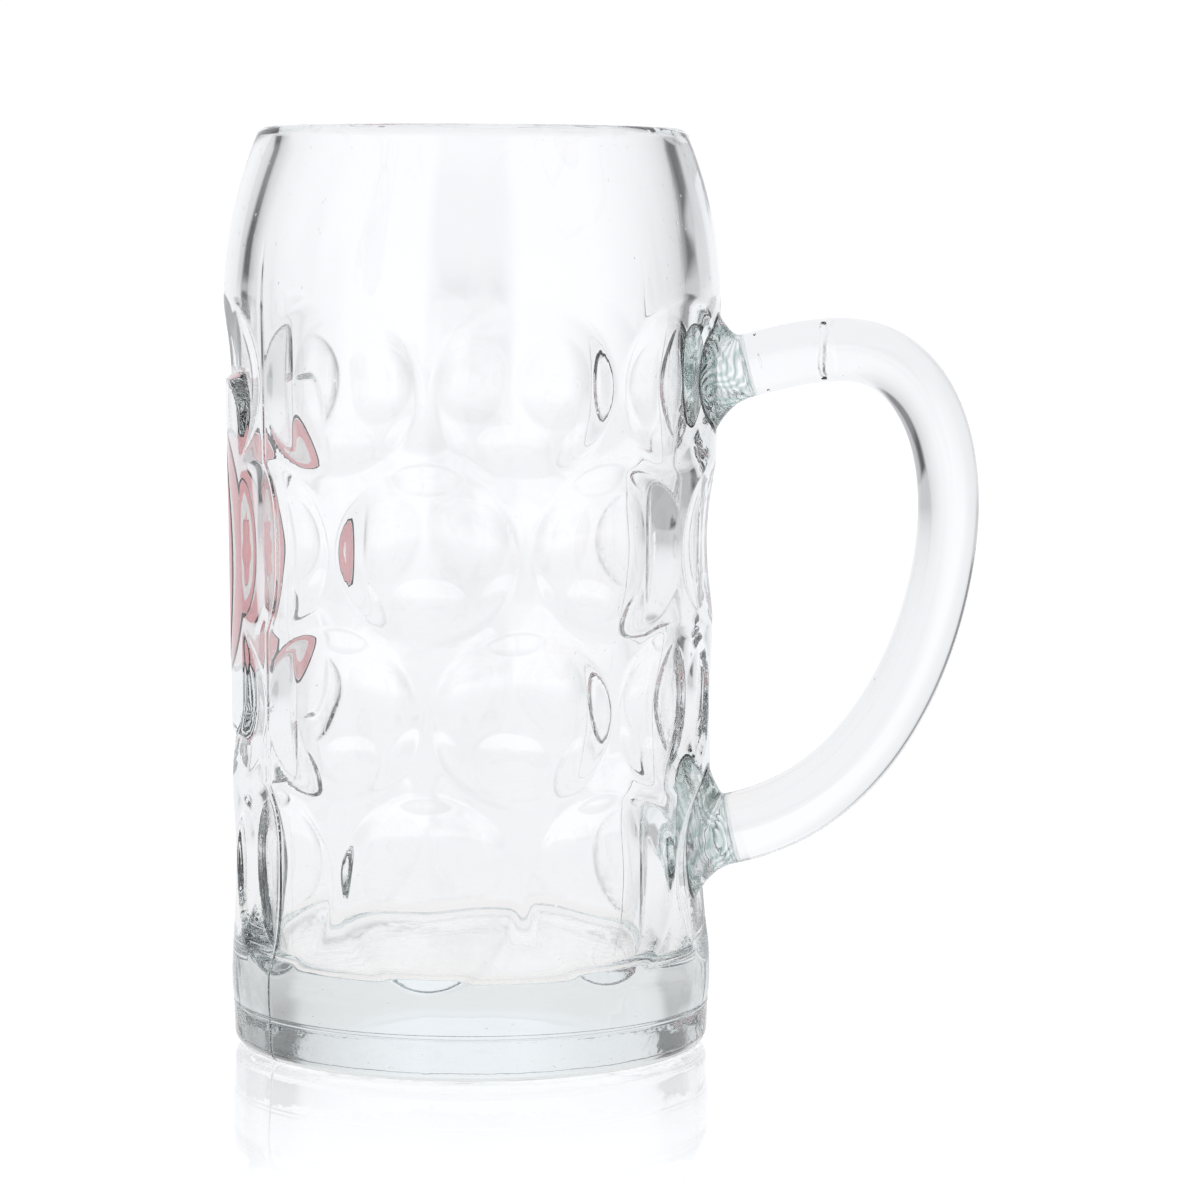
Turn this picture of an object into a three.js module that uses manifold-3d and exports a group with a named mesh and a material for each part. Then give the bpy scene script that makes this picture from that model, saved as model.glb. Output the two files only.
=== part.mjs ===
// A dimpled one-litre beer mug in clear pressed glass, with a drawn glass handle welded on.
// Millimetres, +Z up. The origin is on the mug's axis, in the plane that it stands on.
// The handle is on +X and the smooth panel with the enamel print is on -X.
import * as THREE from "three";
import { mergeVertices } from "three/addons/utils/BufferGeometryUtils.js";
import Module from "manifold-3d";

// Vessel: outer sizes
const MUG_HEIGHT = 200;
const FOOT_RADIUS = 48.9;
const TOE_RADIUS = 3;
const HEEL_HEIGHT = 9.5;
const HEEL_RADIUS = 52.2;
const BASE_BULGE = 0.4;
const BULGE_REACH = 18;
const SHOULDER_HEIGHT = 162;
const SHOULDER_RADIUS = 54.1;
const RIM_RADIUS = 46.9;

// Vessel: glass thickness
const RIM_WALL = 5.8;
const SHOULDER_WALL = 6.6;
const LOWER_WALL = 6.6;
const BASE_THICKNESS = 19.5;
const FLOOR_CORNER_RADIUS = 4;

// Dimples: staggered rows of shallow, nearly round bowls, the lowest row first
const DIMPLE_ROWS = 4;
const DIMPLES_AROUND = 8;
const DIMPLE_WIDTH = 39.4;
const DIMPLE_HEIGHT = 36.2;
const DIMPLE_DEPTH = 2.8;
const BOWL_POWER = 3;
const FIRST_ROW_HEIGHT = 42.1;
const ROW_PITCH = 34.4;

// Panel for the print: a smooth curved rectangle with round corners, opposite the handle
const PANEL_WIDTH = 61;
const PANEL_HEIGHT = 78;
const PANEL_MIDDLE_HEIGHT = 107.4;
const PANEL_CORNER_RADIUS = 9;
const PANEL_EDGE = 3;

// Handle: a rod in the XZ plane, thicker at its lower end and with a slight waist between
const ROD_THICKNESS_TOP = 13.7;
const ROD_THICKNESS_BOTTOM = 15.4;
const ROD_WAIST = 1.4;
const ROD_WIDTH = 15;
const HANDLE_PEAK_REACH = 27.3;
const HANDLE_PEAK_HEIGHT = 152.7;
const HANDLE_GRIP_REACH = 50;
const HANDLE_GRIP_HEIGHT = 119;
const UPPER_LEAN = THREE.MathUtils.degToRad(14);
const LOWER_LEAN = THREE.MathUtils.degToRad(12);

// Welds: flared blobs between the rod's ends and the wall
const UPPER_WELD_HEIGHT = 149.1;
const UPPER_WELD_STANDOFF = 6.7;
const UPPER_WELD_FOOT_HEIGHT = 27.2;
const UPPER_WELD_FOOT_WIDTH = 18;
const LOWER_WELD_HEIGHT = 48.2;
const LOWER_WELD_STANDOFF = 5.2;
const LOWER_WELD_FOOT_HEIGHT = 31.4;
const LOWER_WELD_FOOT_WIDTH = 22;
const WELD_FLARE_POWER = 2.2;
const JOINT_GAP = 0.3;

// Enamel print: an oval badge of flat fired layers on the panel
const BADGE_WIDTH = 44;
const BADGE_HEIGHT = 54;
const KEYLINE_WIDTH = 1.2;
const BAND_WIDTH = 6.5;
const ROSETTE_DIAMETER = 20;
const ROSETTE_PETALS = 8;
const PETAL_SHARE = 0.22;
const ENAMEL_THICKNESS = 0.3;
const ENAMEL_GAP = 0.3;

// How finely the round surfaces are faceted
const AROUND = 64;
const TOE_STEPS = 3;
const WALL_STEPS = 32;
const COLLAR_STEPS = 5;
const LIP_STEPS = 6;
const CORNER_STEPS = 4;
const ROD_SIDES = 16;
const ROD_STEPS = 30;
const WELD_SIDES = 28;
const WELD_STEPS = 6;
const BADGE_AROUND = 64;
const BADGE_STEP = 5;

const wasm = await Module();
wasm.setup();

// Boolean helpers

function toSolid(geometry) {
  const bare = geometry.clone();
  bare.deleteAttribute("normal");
  bare.deleteAttribute("uv");
  const merged = mergeVertices(bare, 1e-3);
  const vertProperties = new Float32Array(merged.attributes.position.array);
  const triVerts = new Uint32Array(merged.index.array);
  return new wasm.Manifold(new wasm.Mesh({ numProp: 3, vertProperties, triVerts }));
}

function toGeometry(solid) {
  const { vertProperties, triVerts } = solid.getMesh();
  const geometry = new THREE.BufferGeometry();
  geometry.setAttribute("position", new THREE.BufferAttribute(vertProperties, 3));
  geometry.setIndex(new THREE.BufferAttribute(triVerts, 1));
  geometry.computeVertexNormals();
  return geometry;
}

// Moves every vertex of a geometry to the place that a function gives for it
function moveVertices(geometry, place) {
  const position = geometry.attributes.position;
  const vertex = new THREE.Vector3();
  for (let i = 0; i < position.count; i++) {
    vertex.fromBufferAttribute(position, i);
    place(vertex, i);
    position.setXYZ(i, vertex.x, vertex.y, vertex.z);
  }
  geometry.computeVertexNormals();
  return geometry;
}

// Vessel

const lipRadius = RIM_WALL / 2;
const lipHeight = MUG_HEIGHT - lipRadius;
const collarRise = lipHeight - SHOULDER_HEIGHT;
const collarLean = Math.atan2(2 * (SHOULDER_RADIUS - RIM_RADIUS), collarRise);
const collarTop = lipHeight + lipRadius * Math.sin(collarLean);

// Radius that bends from one value at a share of 0 to another at a share of 1, level at 0
const bend = (from, to, share) => from + (to - from) * share ** 2;

// Outer radius of the plain wall, without dimples or panel, from the foot to the collar's top. The
// wall bulges a little above the heel.
function wallRadius(z) {
  if (z < HEEL_HEIGHT) {
    const heel = THREE.MathUtils.lerp(FOOT_RADIUS + TOE_RADIUS, HEEL_RADIUS, z / HEEL_HEIGHT);
    const share = Math.max(1 - z / TOE_RADIUS, 0);
    return heel - TOE_RADIUS * (1 - Math.sqrt(1 - share ** 2));
  }
  if (z < SHOULDER_HEIGHT) {
    const rise = Math.min((z - HEEL_HEIGHT) / BULGE_REACH, 1);
    const bulge = BASE_BULGE * (27 / 4) * rise * (1 - rise) ** 2;
    return bulge + bend(HEEL_RADIUS, SHOULDER_RADIUS, (z - HEEL_HEIGHT) / (SHOULDER_HEIGHT - HEEL_HEIGHT));
  }
  return bend(SHOULDER_RADIUS, RIM_RADIUS, (z - SHOULDER_HEIGHT) / (collarTop - SHOULDER_HEIGHT));
}

// Depth of the dimples at an angle and a height: bowls that fall by a power of the way to their edge.
// Every second row is half a pitch round.
function dimpleDepth(angle, z) {
  const pitch = (2 * Math.PI) / DIMPLES_AROUND;
  let depth = 0;
  for (let row = 0; row < DIMPLE_ROWS; row++) {
    const turn = angle / pitch - (row % 2) / 2;
    const across = ((turn - Math.round(turn)) * pitch * wallRadius(z)) / (DIMPLE_WIDTH / 2);
    const along = (z - (FIRST_ROW_HEIGHT + row * ROW_PITCH)) / (DIMPLE_HEIGHT / 2);
    depth = Math.max(depth, DIMPLE_DEPTH * (1 - Math.hypot(across, along) ** BOWL_POWER));
  }
  return depth;
}

// 1 on the panel, 0 off it, with an even slope across its edge
function panelShare(angle, z) {
  const across = Math.abs(Math.PI - Math.abs(angle)) * wallRadius(z);
  const along = Math.abs(z - PANEL_MIDDLE_HEIGHT);
  const overX = across - (PANEL_WIDTH / 2 - PANEL_CORNER_RADIUS);
  const overZ = along - (PANEL_HEIGHT / 2 - PANEL_CORNER_RADIUS);
  const corner = Math.hypot(Math.max(overX, 0), Math.max(overZ, 0));
  const outside = Math.min(Math.max(overX, overZ), 0) + corner - PANEL_CORNER_RADIUS;
  return THREE.MathUtils.clamp(0.5 - outside / PANEL_EDGE, 0, 1);
}

function outerRadius(angle, z) {
  return wallRadius(z) - dimpleDepth(angle, z) * (1 - panelShare(angle, z));
}

// Outer outline from the foot's edge to the collar's top
function outerOutline() {
  const points = [];
  const add = (z) => points.push(new THREE.Vector2(wallRadius(z), z));
  for (let i = 0; i <= TOE_STEPS; i++) {
    add(TOE_RADIUS * (1 - Math.cos((i / TOE_STEPS) * (Math.PI / 2))));
  }
  for (let i = 0; i < WALL_STEPS; i++) {
    add(HEEL_HEIGHT + (i / WALL_STEPS) * (SHOULDER_HEIGHT - HEEL_HEIGHT));
  }
  for (let i = 0; i <= COLLAR_STEPS; i++) {
    add(SHOULDER_HEIGHT + (i / COLLAR_STEPS) * (collarTop - SHOULDER_HEIGHT));
  }
  return points;
}

// Lip: half a circle, leaning in with the collar, without its outer end
function lipOutline() {
  const points = [];
  const middle = RIM_RADIUS - lipRadius * Math.cos(collarLean);
  for (let i = 1; i <= LIP_STEPS; i++) {
    const turn = collarLean + (i / LIP_STEPS) * Math.PI;
    const radius = middle + lipRadius * Math.cos(turn);
    points.push(new THREE.Vector2(radius, lipHeight + lipRadius * Math.sin(turn)));
  }
  return points;
}

// Inside of the vessel from below the lip to the middle of its floor
function innerOutline(start) {
  const points = [];
  const shoulder = SHOULDER_RADIUS - SHOULDER_WALL;
  const side = HEEL_RADIUS - LOWER_WALL;
  for (let i = 1; i <= COLLAR_STEPS; i++) {
    const share = 1 - i / COLLAR_STEPS;
    const z = THREE.MathUtils.lerp(SHOULDER_HEIGHT, start.y, share);
    points.push(new THREE.Vector2(bend(shoulder, start.x, share), z));
  }
  for (let i = 0; i <= CORNER_STEPS; i++) {
    const turn = (i / CORNER_STEPS) * (Math.PI / 2);
    const radius = side - FLOOR_CORNER_RADIUS * (1 - Math.cos(turn));
    const z = BASE_THICKNESS + FLOOR_CORNER_RADIUS * (1 - Math.sin(turn));
    points.push(new THREE.Vector2(radius, z));
  }
  points.push(new THREE.Vector2(0, BASE_THICKNESS));
  return points;
}

// Turns an outline about Z, from the axis to the axis, and presses the dimples and the panel into
// its first points, which are the outer ones. Spare is added to the outer radius.
function turnVessel(outer, rest, spare = 0) {
  const outline = [new THREE.Vector2(0, 0), ...outer, ...rest];
  const geometry = new THREE.LatheGeometry(outline, AROUND);
  geometry.rotateX(Math.PI / 2);
  return moveVertices(geometry, (vertex, i) => {
    const place = (i % outline.length) - 1;
    if (place < 0 || place >= outer.length) return;
    const angle = Math.atan2(vertex.y, vertex.x);
    const radius = outerRadius(angle, outer[place].y) + spare;
    vertex.set(radius * Math.cos(angle), radius * Math.sin(angle), vertex.z);
  });
}

function vesselGeometry() {
  const lip = lipOutline();
  return turnVessel(outerOutline(), [...lip, ...innerOutline(lip.at(-1))]);
}

// The vessel's filled outer form, larger by the gap that a welded piece keeps to it
function vesselBlank() {
  return turnVessel(outerOutline(), [new THREE.Vector2(0, collarTop)], JOINT_GAP);
}

// Handle

const upperJoint = new THREE.Vector3(
  wallRadius(UPPER_WELD_HEIGHT) + UPPER_WELD_STANDOFF, 0, UPPER_WELD_HEIGHT);
const lowerJoint = new THREE.Vector3(
  wallRadius(LOWER_WELD_HEIGHT) + LOWER_WELD_STANDOFF, 0, LOWER_WELD_HEIGHT);
const leanVector = (lean) => new THREE.Vector3(Math.cos(lean), 0, Math.sin(lean));
const upperWay = leanVector(UPPER_LEAN);
const lowerWay = leanVector(LOWER_LEAN);

// Middle line of the rod: a short rise to the peak, a tight round shoulder, a long sweep to the foot
function handlePath() {
  const peak = new THREE.Vector3(SHOULDER_RADIUS + HANDLE_PEAK_REACH, 0, HANDLE_PEAK_HEIGHT);
  const grip = new THREE.Vector3(SHOULDER_RADIUS + HANDLE_GRIP_REACH, 0, HANDLE_GRIP_HEIGHT);
  const outwards = new THREE.Vector3(1, 0, 0);
  const upwards = new THREE.Vector3(0, 0, 1);
  const start = upperJoint.clone().addScaledVector(upperWay, JOINT_GAP);
  const end = lowerJoint.clone().addScaledVector(lowerWay, JOINT_GAP);
  const shift = (point, way, length) => point.clone().addScaledVector(way, length);
  const rise = peak.x - start.x;
  const round = grip.x - peak.x;
  const fall = peak.z - grip.z;
  const sweep = grip.z - end.z;
  const path = new THREE.CurvePath();
  path.add(new THREE.CubicBezierCurve3(
    start, shift(start, upperWay, rise * 0.35), shift(peak, outwards, -rise * 0.4), peak));
  path.add(new THREE.CubicBezierCurve3(
    peak, shift(peak, outwards, round * 0.61), shift(grip, upwards, fall * 0.6), grip));
  path.add(new THREE.CubicBezierCurve3(
    grip, shift(grip, upwards, -sweep * 0.285), shift(end, lowerWay, sweep * 0.52), end));
  return path;
}

// Rod along a path in the XZ plane. Its oval section grows from the first end to the last, less a waist.
function handleGeometry() {
  const path = handlePath();
  const geometry = new THREE.CylinderGeometry(1, 1, 1, ROD_SIDES, ROD_STEPS);
  return moveVertices(geometry, (vertex) => {
    const share = THREE.MathUtils.clamp(vertex.y + 0.5, 0, 1);
    const middle = path.getPointAt(share);
    const tangent = path.getTangentAt(share);
    const outwards = new THREE.Vector3(-tangent.z, 0, tangent.x);
    const waist = ROD_WAIST * Math.sin(Math.PI * share) ** 2;
    const thickness = THREE.MathUtils.lerp(ROD_THICKNESS_TOP, ROD_THICKNESS_BOTTOM, share) - waist;
    const across = (vertex.z * ROD_WIDTH) / 2;
    middle.addScaledVector(outwards, (vertex.x * thickness) / 2);
    vertex.set(middle.x, middle.y + across, middle.z);
  });
}

// Weld: a blob round the rod's own line that flares from the rod's section to its foot at the plain
// wall, and is cut to the wall's dimpled form. It reaches past the deepest dimple before it is cut.
function weldGeometry({ joint, way, standoff, thickness, footHeight, footWidth }, blank) {
  const flare = standoff / way.x;
  const length = flare + (DIMPLE_DEPTH + JOINT_GAP + footHeight / 4) / way.x;
  const upwards = new THREE.Vector3(-way.z, 0, way.x);
  const geometry = new THREE.CylinderGeometry(1, 1, 1, WELD_SIDES, WELD_STEPS);
  moveVertices(geometry, (vertex) => {
    const along = (0.5 - vertex.y) * length;
    const share = Math.min(along / flare, 1) ** WELD_FLARE_POWER;
    const height = THREE.MathUtils.lerp(thickness, footHeight, share);
    const width = THREE.MathUtils.lerp(ROD_WIDTH, footWidth, share);
    const middle = joint.clone().addScaledVector(way, -along);
    middle.addScaledVector(upwards, (vertex.x * height) / 2);
    vertex.set(middle.x, (vertex.z * width) / 2, middle.z);
  });
  return toGeometry(toSolid(geometry).subtract(blank));
}

// Enamel

// Flat layer between two outlines round the badge's middle, wrapped on the panel. An outline gives
// the across and along places for an angle. With no inner outline the layer reaches the middle.
function enamelLayer(inner, outer, reach) {
  const steps = Math.max(1, Math.round(reach / BADGE_STEP));
  const shares = Array.from({ length: steps + 1 }, (_, i) => i / steps);
  const offset = inner ? 1 : 0;
  const lower = shares.map((share) => new THREE.Vector2(share + offset, 0));
  const upper = lower.map((point) => new THREE.Vector2(point.x, 1)).reverse();
  const outline = inner ? [...lower, ...upper, lower[0].clone()] : [...lower, ...upper];
  const geometry = new THREE.LatheGeometry(outline, BADGE_AROUND);
  const middle = new THREE.Vector2();
  return moveVertices(geometry, (vertex) => {
    const turn = Math.atan2(vertex.z, vertex.x);
    const share = Math.hypot(vertex.x, vertex.z) - offset;
    const place = (inner ? inner(turn) : middle.clone()).lerp(outer(turn), share);
    const z = PANEL_MIDDLE_HEIGHT + place.y;
    const surface = wallRadius(z);
    const radius = surface + ENAMEL_GAP + vertex.y * ENAMEL_THICKNESS;
    const angle = Math.PI - place.x / surface;
    vertex.set(radius * Math.cos(angle), radius * Math.sin(angle), z);
  });
}

// Oval that lies a given depth inside the badge's edge
const oval = (depth) => (turn) =>
  new THREE.Vector2(
    (BADGE_WIDTH / 2 - depth) * Math.cos(turn),
    (BADGE_HEIGHT / 2 - depth) * Math.sin(turn));

// Round outline with petals, larger by a spare
const rosette = (spare) => (turn) => {
  const petal = 1 - PETAL_SHARE * (0.5 - 0.5 * Math.cos(ROSETTE_PETALS * turn));
  const radius = (ROSETTE_DIAMETER / 2) * petal + spare;
  return new THREE.Vector2(radius * Math.cos(turn), radius * Math.sin(turn));
};

// Assembly

const glass = () =>
  new THREE.MeshStandardMaterial({
    color: 0xe3ece9, roughness: 0.05, metalness: 0, transparent: true, opacity: 0.35 });
const enamel = (color) => new THREE.MeshStandardMaterial({ color, roughness: 0.35, metalness: 0 });
const RED = 0xdd8b90;
const PALE_GREY = 0xeff1ef;
const BLACK = 0x3f3c3f;

const mug = new THREE.Group();

function addPiece(name, geometry, material) {
  const mesh = new THREE.Mesh(geometry, material);
  mesh.name = name;
  mug.add(mesh);
}

const blank = toSolid(vesselBlank());
const upperWeld = {
  joint: upperJoint, way: upperWay, standoff: UPPER_WELD_STANDOFF, thickness: ROD_THICKNESS_TOP,
  footHeight: UPPER_WELD_FOOT_HEIGHT, footWidth: UPPER_WELD_FOOT_WIDTH };
const lowerWeld = {
  joint: lowerJoint, way: lowerWay, standoff: LOWER_WELD_STANDOFF, thickness: ROD_THICKNESS_BOTTOM,
  footHeight: LOWER_WELD_FOOT_HEIGHT, footWidth: LOWER_WELD_FOOT_WIDTH };
addPiece("mug_body", vesselGeometry(), glass());
addPiece("handle", handleGeometry(), glass());
addPiece("upper_handle_weld", weldGeometry(upperWeld, blank), glass());
addPiece("lower_handle_weld", weldGeometry(lowerWeld, blank), glass());

const bandEdge = KEYLINE_WIDTH + ENAMEL_GAP;
const fieldEdge = bandEdge + BAND_WIDTH + ENAMEL_GAP;
const fieldReach = (BADGE_HEIGHT - ROSETTE_DIAMETER) / 2 - fieldEdge;
addPiece("enamel_keyline", enamelLayer(oval(KEYLINE_WIDTH), oval(0), KEYLINE_WIDTH), enamel(BLACK));
addPiece("enamel_band", enamelLayer(oval(bandEdge + BAND_WIDTH), oval(bandEdge), BAND_WIDTH), enamel(RED));
addPiece("enamel_field", enamelLayer(rosette(ENAMEL_GAP), oval(fieldEdge), fieldReach), enamel(PALE_GREY));
addPiece("enamel_rosette", enamelLayer(null, rosette(0), ROSETTE_DIAMETER / 2), enamel(RED));

export default mug;
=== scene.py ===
"""A dimpled one-litre beer mug in clear pressed glass, standing on a glossy white table.

The glass surfaces are worked out in millimetres and written to the meshes in metres. The mug's axis
is Z, the handle is on +X and the smooth panel with the enamel badge is on -X.
"""
import math

import bpy
import numpy as np
from mathutils import Matrix, Vector


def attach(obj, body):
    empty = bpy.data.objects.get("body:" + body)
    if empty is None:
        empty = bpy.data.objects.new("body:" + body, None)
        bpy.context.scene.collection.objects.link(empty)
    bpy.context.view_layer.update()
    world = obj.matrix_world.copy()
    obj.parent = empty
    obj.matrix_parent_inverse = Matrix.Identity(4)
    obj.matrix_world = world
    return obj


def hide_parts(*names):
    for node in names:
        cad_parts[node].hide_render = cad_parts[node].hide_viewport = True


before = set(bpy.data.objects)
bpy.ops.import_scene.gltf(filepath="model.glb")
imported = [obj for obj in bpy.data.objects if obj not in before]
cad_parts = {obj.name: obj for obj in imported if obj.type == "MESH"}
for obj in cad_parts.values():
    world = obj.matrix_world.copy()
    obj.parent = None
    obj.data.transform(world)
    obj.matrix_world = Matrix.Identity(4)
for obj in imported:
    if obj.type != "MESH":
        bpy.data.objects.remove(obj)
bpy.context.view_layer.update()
MM = 0.001
FULL_TURN = 2 * math.pi
WHITE = (1, 1, 1, 1)

# Vessel, outside
MUG_HEIGHT = 200.0
FOOT_RADIUS = 48.9
TOE_RADIUS = 3.0
HEEL_HEIGHT = 9.5
HEEL_RADIUS = 52.2
BASE_BULGE = 0.4
BULGE_REACH = 18.0
BULGE_CURVE_PEAK = 4 / 27
SHOULDER_HEIGHT = 162.0
SHOULDER_RADIUS = 54.1
RIM_RADIUS = 46.9

# Vessel, glass thickness
RIM_WALL = 5.8
SHOULDER_WALL = 6.6
LOWER_WALL = 6.6
BASE_THICKNESS = 19.5
FLOOR_CORNER_RADIUS = 4.0

# Dimples, the lowest row first. A bowl's easing ends at the limit, a share of its depth off the wall.
DIMPLE_ROWS = 4
DIMPLES_AROUND = 8
DIMPLE_WIDTH = 39.4
DIMPLE_HEIGHT = 36.2
DIMPLE_DEPTH = 2.8
BOWL_POWER = 3.0
BOWL_LIMIT = -0.6
DIMPLE_EDGE = 0.06
LOWEST_STRETCH = 4.4
FIRST_ROW_HEIGHT = 42.1
ROW_PITCH = 34.4

# Smooth panel opposite the handle
PANEL_WIDTH = 61.0
PANEL_HEIGHT = 78.0
PANEL_MIDDLE_HEIGHT = 107.4
PANEL_CORNER_RADIUS = 9.0
PANEL_EDGE = 2.2

# Marks of the mould and of blowing. The upright seams fade out above the shoulder.
SEAM_ANGLES = (math.radians(45), math.radians(225))
SEAM_HEIGHT = 0.22
SEAM_HALF_WIDTH = 0.4
SEAM_TOP = SHOULDER_HEIGHT + 12.0
SEAM_FADE = 16.0
HEEL_SEAM_HEIGHT = 0.12
HEEL_SEAM_HALF_WIDTH = 0.4
BLOWN_WAVE = 0.08
BLOWN_OFFSET = 0.7
BLOWN_FADE = 20.0
BLOWN_FLOOR_RADIUS = 10.0

# Rings and columns of the vessel's mesh
HEEL_SEAM_REACH = 1.2
COLLAR_START = SHOULDER_HEIGHT + 4.0
UNDERSIDE_RINGS = 6
TOE_RINGS = 9
HEEL_RINGS = 6
HEEL_SEAM_RINGS = 13
WALL_RINGS = 160
COLLAR_RINGS = 14
LIP_RINGS = 14
INNER_WALL_RINGS = 40
CORNER_RINGS = 12
FLOOR_RINGS = 8
VESSEL_COLUMNS = 384
SEAM_COLUMN_DEGREES = (-0.7, -0.45, -0.2, 0.2, 0.45, 0.7)

# Handle. The pulls are shares of a curve's span that its control points stand off its ends.
ROD_THICKNESS_TOP = 13.7
ROD_THICKNESS_BOTTOM = 15.4
ROD_WAIST = 1.4
ROD_WIDTH = 15.0
HANDLE_PEAK_REACH = 27.3
HANDLE_PEAK_HEIGHT = 152.7
HANDLE_GRIP_REACH = 50.0
HANDLE_GRIP_HEIGHT = 119.0
UPPER_LEAN = math.radians(14)
LOWER_LEAN = math.radians(12)
START_PULL = 0.35
PEAK_PULL_BACK = 0.4
PEAK_PULL_ON = 0.61
GRIP_PULL_UP = 0.6
GRIP_PULL_DOWN = 0.285
END_PULL = 0.52
CURVE_STEPS = 200
HANDLE_RINGS = 400
ROD_COLUMNS = 72

# Fold mark on the rod's front
FOLD_REACH = 23.1
FOLD_DEPTH = 0.22
FOLD_HALF_WIDTH = 0.7
FOLD_FRONT = 3.0
FOLD_FADE = 1.5

# Welds
UPPER_WELD_HEIGHT = 149.1
UPPER_WELD_STANDOFF = 6.7
UPPER_WELD_FOOT_HEIGHT = 27.2
UPPER_WELD_FOOT_WIDTH = 18.0
LOWER_WELD_HEIGHT = 48.2
LOWER_WELD_STANDOFF = 5.2
LOWER_WELD_FOOT_HEIGHT = 31.4
LOWER_WELD_FOOT_WIDTH = 22.0
WELD_FLARE_POWER = 2.2
WELD_SINK = 0.3
WELD_RINGS = 18
SOLE_RINGS = 10

# Enamel badge
BADGE_WIDTH = 44.0
BADGE_HEIGHT = 54.0
KEYLINE_WIDTH = 1.2
BAND_WIDTH = 6.5
ROSETTE_DIAMETER = 20.0
ROSETTE_PETALS = 8
PETAL_SHARE = 0.22
LAYER_GAP = 0.3
ENAMEL_THICKNESS = 0.12
ENAMEL_SINK = 0.06
BADGE_COLUMNS = 192
KEYLINE_ROWS = 3
BAND_ROWS = 8
FIELD_ROWS = 14
ROSETTE_ROWS = 10

# Glass, in metres. Bump heights are in steps of GLASS_BUMP, and pairs are where a fade starts and ends.
GLASS_IOR = 1.52
GLASS_COLOUR = (0.58, 0.71, 0.72, 1)
GLASS_DENSITY = 3.6
GLASS_BUMP = 0.0001
RIPPLE_SCALE = 28.0
SEED_SCALE = 260.0
SEED_EDGE = (0.03, 0.08)
SEED_DEPTH = 0.35
CHILL_SCALE = 190.0
UNDERSIDE_FADE = (0.00005, 0.0004)
UNDERSIDE_RING_FADE = (0.021, 0.025)
UNDERSIDE_WAVES = 0.9
HEEL_MOTTLE = 2.4
HEEL_MOTTLE_START = (0.0004, 0.002)
HEEL_MOTTLE_END = ((HEEL_HEIGHT - 0.8) * MM, (HEEL_HEIGHT - 0.3) * MM)
PIT_SCALE = 190.0
PIT_EDGE = (0.03, 0.07)
PIT_DEPTH = 0.9
WANDER_SCALE = 240.0
FOLD_WANDER = 0.0012
FOLD_MARK_HALF_WIDTH = 0.0011
FOLD_MARK_DEPTH = 6.0
FOLD_MARK_RISE = (0.12, 0.13)
WELD_ROUGHNESS = 0.05
WELD_TINT = (0.49, 0.60, 0.58, 1)
WELD_BUMP = 0.00005
SWIRL_SIZES = {"Scale": 115.0, "Distortion": 26.0, "Detail": 1.0, "Detail Scale": 0.8}
SWIRL_RAMP = (0.2, 0.75)

# Enamel's look
ENAMEL_BLACK = (0.05, 0.045, 0.05)
ENAMEL_RED = (0.82, 0.46, 0.48)
ENAMEL_GREY = (0.93, 0.94, 0.93)
ENAMEL_ROUGHNESS = 0.35
# Painted light: how strongly the enamel's side towards the glass glows, and over which facing the glow
# comes in
ENAMEL_PAINTED_GLOW = 0.4
PAINTED_GLOW_FACING = (0.0, 0.3)
MOTTLE_SCALE = 900.0
MOTTLE_DARK = 0.8
MOTTLE_LIGHT = 1.15

# Studio. A tone goes with degrees round the mug: 0 is the backdrop, 90 is at the right of the picture.
STUDIO_TONES = (
    (-180, 0.05), (-164, 0.05), (-157, 1.1), (-115, 1.0), (-98, 0.8), (-60, 0.75), (-52, 0.1),
    (-42, 0.08), (-39, 0.74), (-33, 0.86), (-27, 0.88), (-21, 0.90), (-15, 0.95), (-9, 1.0),
    (9, 1.0), (15, 0.95), (21, 0.88), (27, 0.8), (33, 0.7), (37, 0.14), (39, 0.06), (44, 0.06),
    (50, 0.45), (98, 0.5), (115, 1.0), (157, 1.1), (164, 0.05), (180, 0.05))
STUDIO_TINT = (1.005, 1.01, 1.035)
HORIZON_LIGHT = 0.58
HORIZON_END = math.sin(math.radians(2.5))
CARD_PALING = 0.22
CARD_PALING_FADE = (math.sin(math.radians(4)), math.sin(math.radians(12)))
CEILING_LIGHT = 0.97
CEILING_FADE = (math.sin(math.radians(26)), math.sin(math.radians(46)))
BACKDROP_SEEN = 1.03

# Table, in metres
TABLE_HALF_SIZE = 12.0
TABLE_DROP = 0.0003
TABLE_LIGHT = 0.905
TABLE_FAR_FADE = (0.3, 2.0)
# Painted shade under the mug: the table's glow is dimmer and warmer round the mug's foot
UNDER_MUG_SHADE_TINT = (1.025, 1.0, 0.99)
UNDER_MUG_SHADE_LIGHT = 0.875
UNDER_MUG_SHADE_FADE = (0.05, 0.13)
TABLE_SEEN = 1.05
TABLE_IOR = 1.7
TABLE_ROUGHNESS = 0.02
GLOSS_FADE = (0.05, 0.19)

# Camera, as fitted to the photograph's outline of the mug
CAMERA_AZIMUTH = math.radians(10.5)
CAMERA_DISTANCE = 0.9263
CAMERA_HEIGHT = 0.1813
CAMERA_YAW = math.radians(1.735)
CAMERA_PITCH = math.radians(-5.19)
CAMERA_ROLL = 0.0049
CAMERA_NEAR = 0.01
FOCAL_PIXELS = 4240.0
IMAGE_PIXELS = 1200.0
SENSOR_WIDTH = 36.0

# Bounces of light through the glass
GLASS_BOUNCES = 24
GLOSS_BOUNCES = 12


# Mesh helpers

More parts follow.
